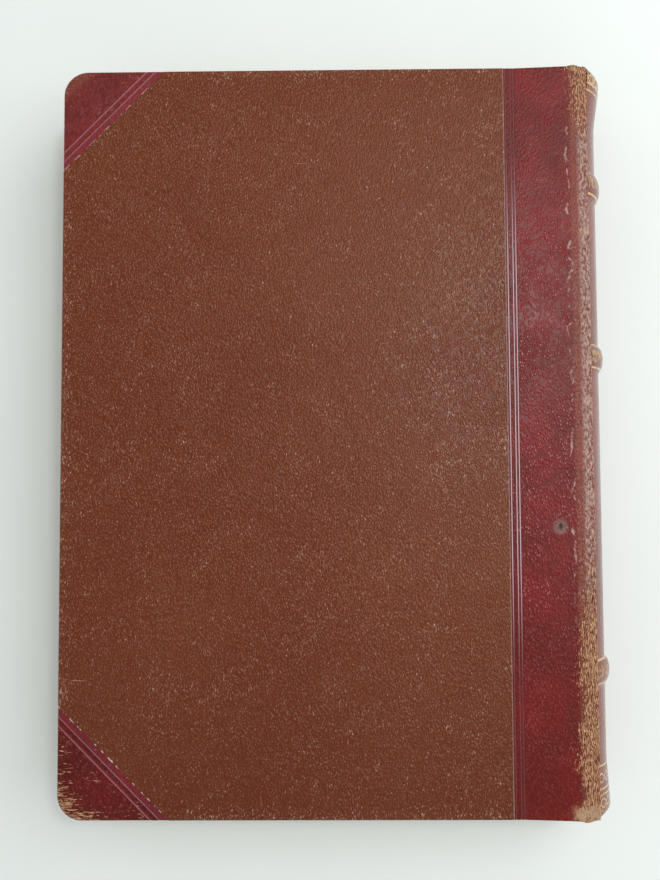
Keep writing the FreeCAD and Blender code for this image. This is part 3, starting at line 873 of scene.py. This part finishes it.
def coverSkins(side):
    outward = sides[side]
    body = side + "_cover"
    blank = coverBlank(side)
    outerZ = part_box(side + "_joint_leather")[1 if outward > 0 else 0].z
    midZ = outerZ - outward * noseRadius

    paper = copyPiece(blank, side + "SidePaper")
    slicePiece(paper, (stripX, 0, 0), (1, 0, 0), drop=True)
    for leg, headward in ((headLeg, 1), (tailLeg, -1)):
        point, normal = diagonal(leg, headward)
        slicePiece(paper, point, -normal, drop=True)
    pick(paper, "VERT", lambda v: (v.co.z - midZ) * outward > noseRadius * 0.4)
    bpy.ops.transform.translate(value=(0, 0, outward * coverLook["paperProud"]))
    useModifier(paper, "Skin", "SOLIDIFY", thickness=coverLook["skin"], offset=-1)
    finishMesh(paper, materials["side_paper"])
    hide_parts(side + "_side_paper")
    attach(paper, body)

    for end, leg, headward in (("head", headLeg, 1), ("tail", tailLeg, -1)):
        corner = copyPiece(blank, side + end.title() + "Corner")
        point, normal = diagonal(leg, headward)
        slicePiece(corner, point, normal, drop=True)
        for inset in leather["cornerFillets"]:
            sink(corner, outward, diagonal(leg, headward, inset)[0], normal,
                 coverLook["filletDeep"], coverLook["filletHalf"])
        useModifier(corner, "Skin", "SOLIDIFY", thickness=coverLook["skin"], offset=-1)
        finishMesh(corner, materials["cornerLeather"])
        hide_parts(side + "_" + end + "_corner")
        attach(corner, body)

    strip = copyPiece(blank, side + "JointLeather")
    slicePiece(strip, (stripX, 0, 0), (-1, 0, 0), drop=True)
    for gap in leather["fillets"]:
        sink(strip, outward, (stripX + gap, 0, 0), (1, 0, 0), coverLook["filletDeep"],
             coverLook["filletHalf"])
    shapeShoulder(strip, outward, midZ)
    bunchEnds(strip, outward, midZ)
    useModifier(strip, "Skin", "SOLIDIFY", thickness=coverLook["skin"], offset=-1)
    finishMesh(strip, materials["jointLeather"])
    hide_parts(side + "_joint_leather")
    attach(strip, body)
    bpy.data.objects.remove(blank)


def coverBoard(side):
    # the millboard inside the skins, its spine edge sloped and rounded like the leather on it
    outward = sides[side]
    low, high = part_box(side + "_board")
    board = addBlock(side + "Millboard", low, high)
    roundSlab(board, coverLook["cornerRound"] - coverLook["skin"], high.x, (high.z - low.z) / 2)
    shapeShoulder(board, outward, (low.z + high.z) / 2)
    finishMesh(board, materials["millboard"])
    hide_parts(side + "_board")
    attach(board, side + "_cover")


def shapeShoulder(piece, outward, midZ):
    # slopes a cover's outer face down to the nose, a little unevenly
    shoulderX = noseX - coverLook["shoulder"]
    columns, rows = 8, 44
    for n in range(columns):
        slicePiece(piece, (shoulderX + (hingeX - shoulderX) * n / columns, 0, 0), (1, 0, 0))
    for n in range(1, rows):
        slicePiece(piece, (0, -headY + 2 * headY * n / rows, 0), (0, 1, 0))
    for v in verticesOf(piece):
        lift = (v.co.z - midZ) * outward / noseRadius
        if v.co.x > shoulderX and lift > 0:
            along = min((v.co.x - shoulderX) / (hingeX - shoulderX), 1.0)
            short, long = [v.co.y / wave for wave in coverLook["unevenWaves"]]
            uneven = 1 + 0.16 * math.sin(short) * math.sin(long + 1.3)
            v.co.z -= outward * coverLook["shoulderDip"] * along ** 1.4 * min(lift, 1.0) * uneven


def bunchEnds(strip, outward, midZ):
    # the leather bunches up where it turns in over the board's ends, next to the spine
    deep, reach = coverLook["bunchDeep"], coverLook["bunchReach"]
    for end in (-1, 1):
        for n in range(1, 7):
            slicePiece(strip, (0, end * (headY - n * deep / 6), 0), (0, 1, 0))
    for v in verticesOf(strip):
        lift = (v.co.z - midZ) * outward / noseRadius
        edge = headY - abs(v.co.y)
        if edge < deep and v.co.x > noseX - reach and lift > -0.5:
            near = 1 - edge / deep
            across = (v.co.x - noseX + reach) / (reach + 2 * mm)
            across = math.sin(math.pi * min(max(across, 0), 1))
            rough = 1 + 0.25 * math.sin(v.co.x / (1.1 * mm))
            v.co.y += math.copysign(coverLook["headBump"] * near ** 2 * across * rough, v.co.y)


def rowPlaces():
    # places of the spine's cross rows: close together at the bands and at both ends
    look = spineLook
    places = []
    y = -headY + look["capRound"]
    while y < headY - look["capRound"] + 1e-6:
        places.append(y)
        fromBand = min(abs(y - band) for band in bandPlaces)
        y += look["fineStep"] if fromBand < look["bandReach"] + 1 * mm else look["rowStep"]
    for n in range(1, 8):
        inset = look["capRound"] * (1 - math.sin(math.radians(n * 90 / 8)))
        places += [headY - inset, inset - headY]
    return places


def roundSpine():
    # a strip of leather in section, raised over the bands, turned in at its ends, spun to a round
    look = spineLook
    selectOnly()
    inner = spineTopX - look["thick"]
    bpy.ops.mesh.primitive_plane_add(size=1, location=((spineTopX + inner) / 2, 0, spineAxis.z))
    spine = bpy.context.object
    spine.name = "spineLeather"
    bpy.ops.transform.resize(value=(look["thick"], 2 * headY, 1))
    bpy.ops.object.transform_apply(location=True, rotation=True, scale=True)
    for y in rowPlaces():
        slicePiece(spine, (0, y, 0), (0, 1, 0))
    for band in bandPlaces:
        rows = [v.co.y for v in bmesh.from_edit_mesh(spine.data).verts]
        middle = min(rows, key=lambda y: abs(y - band))
        pick(spine, "VERT", lambda v: abs(v.co.y - middle) < 1e-6)
        bpy.ops.transform.translate(value=(look["bandHeight"], 0, 0), use_proportional_edit=True,
                                    proportional_edit_falloff="SPHERE",
                                    proportional_size=look["bandReach"])
    pick(spine, "VERT", lambda v: headY - abs(v.co.y) < 1e-5 and v.co.x < inner + 0.1 * mm)
    bpy.ops.transform.translate(value=(-look["capLip"], 0, 0))
    shapeCaps(spine)
    half = spineHalfAngle + look["creaseLap"]
    editOnly(spine)
    bpy.ops.mesh.select_all(action="SELECT")
    bpy.ops.transform.rotate(value=-half, orient_axis="Y", center_override=spineAxis)
    bpy.ops.mesh.spin(steps=look["turns"], angle=2 * half, center=spineAxis, axis=(0, 1, 0))
    raiseEars(spine)
    finishMesh(spine, materials["spineLeather"], 50)
    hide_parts("spine_leather")
    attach(spine, "spine")


def shapeCaps(spine):
    # in section, each end swells out and then rolls in over its endband
    look = spineLook
    for v in verticesOf(spine):
        end = 1 if v.co.y > 0 else -1
        inset = headY - abs(v.co.y)
        depth = min(max(look["capRound"] - inset, 0), look["capRound"])
        v.co.x -= look["capRound"] - math.sqrt(look["capRound"] ** 2 - depth ** 2)
        near = max(1 - inset / look["flareReach"], 0)
        v.co.x += look["flare"][end] * near * near * (3 - 2 * near)


def raiseEars(spine):
    # at both creases the caps' ears stand up beside the boards
    look = spineLook
    for v in verticesOf(spine):
        turn = abs(math.atan2(v.co.z - spineAxis.z, v.co.x - spineAxis.x)) / spineHalfAngle
        near = max(1 - (headY - abs(v.co.y)) / look["earReach"], 0)
        v.co.y += math.copysign(look["capRise"] * min(turn, 1) ** 3 * near ** 2, v.co.y)


def endbandWraps(end):
    # silk wound round the cord, one turn beside the next
    low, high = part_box(end + "_endband")
    middleY = (low.y + high.y) / 2
    reach = high.x - endbandLook["core"] - spineAxis.x
    halfAngle = math.asin((high.z - low.z - 1.2 * endbandLook["core"]) / 2 / reach)
    selectOnly()
    bpy.ops.mesh.primitive_torus_add(major_radius=endbandLook["core"],
                                     minor_radius=endbandLook["thread"],
                                     major_segments=16, minor_segments=6,
                                     location=(spineAxis.x + reach, middleY, spineAxis.z))
    wraps = bpy.context.object
    wraps.name = end + "EndbandSilk"
    bpy.ops.object.transform_apply(location=True, rotation=True, scale=True)
    editOnly(wraps)
    bpy.ops.mesh.select_all(action="SELECT")
    bpy.ops.transform.rotate(value=-halfAngle, orient_axis="Y", center_override=spineAxis)
    bpy.ops.mesh.spin(steps=endbandLook["wraps"], angle=2 * halfAngle, dupli=True,
                      center=spineAxis, axis=(0, 1, 0))
    finishMesh(wraps, materials["silk"], 60)
    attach(wraps, "spine")


def finishNodes():
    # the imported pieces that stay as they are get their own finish
    slots = {part["node"]: part["material_slot"] for part in frame["record"]["subparts"]}
    for name, node in frame["nodes"].items():
        finish = materials.get(name) or materials.get(slots[name])
        if finish:
            node.data.materials.clear()
            node.data.materials.append(finish)


for side in sides:
    coverBoard(side)
    coverSkins(side)
    print("cover skins made:", side)
roundSpine()
print("spine leather made")
for end in ("head", "tail"):
    endbandWraps(end)
finishNodes()
print("packed pieces finished")


room = {
    "floor": ("F4FBF9", "EEF6F5"),
    "floorSize": 6,  # metres
    "cameraPlace": (1.0 * mm, -22.8 * mm, 428.3 * mm),
    "cameraTurn": (3.2, 0.64, -0.30),  # degrees about X, Y and Z
    "cameraLens": 38.86,  # mm on a 36 mm frame, along its long side
    "sky": "F4F3F0",
    "skyStrength": 0.62,
    "lights": {  # name: (place, size in metres, watts)
        "window": ((0.75, 0.30, 0.95), 1.25, 8.6),
        "lamp": ((0.32, 0.27, 1.20), 0.13, 1.9),
    },
}


def lookAt(thing, target):
    thing.rotation_euler = (Vector(target) - thing.location).to_track_quat("-Z", "Y").to_euler()


def setRoom():
    selectOnly()
    bpy.ops.mesh.primitive_plane_add(size=room["floorSize"], location=(0, 0, 0))
    floor = bpy.context.object
    floor.name = "floor"
    material, add, place = startMaterial("whitePaperSheet")[:3]
    cloud = add("TexNoise", place, 1 / (60 * mm), 4)
    colour = add("Mix", cloud, *room["floor"])
    shader = add("BsdfPrincipled", {"Base Color": colour, "Roughness": 0.8})
    add("OutputMaterial", shader)
    floor.data.materials.append(material)

    world = bpy.data.worlds.new("paleRoom")
    bpy.context.scene.world = world
    world.use_nodes = True
    sky = world.node_tree.nodes["Background"]
    sky.inputs["Color"].default_value = linearColour(room["sky"])
    sky.inputs["Strength"].default_value = room["skyStrength"]
    for name, (place, size, watts) in room["lights"].items():
        bpy.ops.object.light_add(type="AREA", location=place)
        light = bpy.context.object
        light.name = name
        light.data.energy = watts
        light.data.size = size
        lookAt(light, (0, 0, 0))

    bpy.ops.object.camera_add(location=room["cameraPlace"],
                              rotation=[math.radians(turn) for turn in room["cameraTurn"]])
    camera = bpy.context.object
    camera.data.lens = room["cameraLens"]
    camera.data.sensor_fit = "AUTO"
    camera.data.clip_start = 0.01
    bpy.context.scene.camera = camera
    bpy.context.scene.view_settings.view_transform = "Standard"


setRoom()
print("room set")
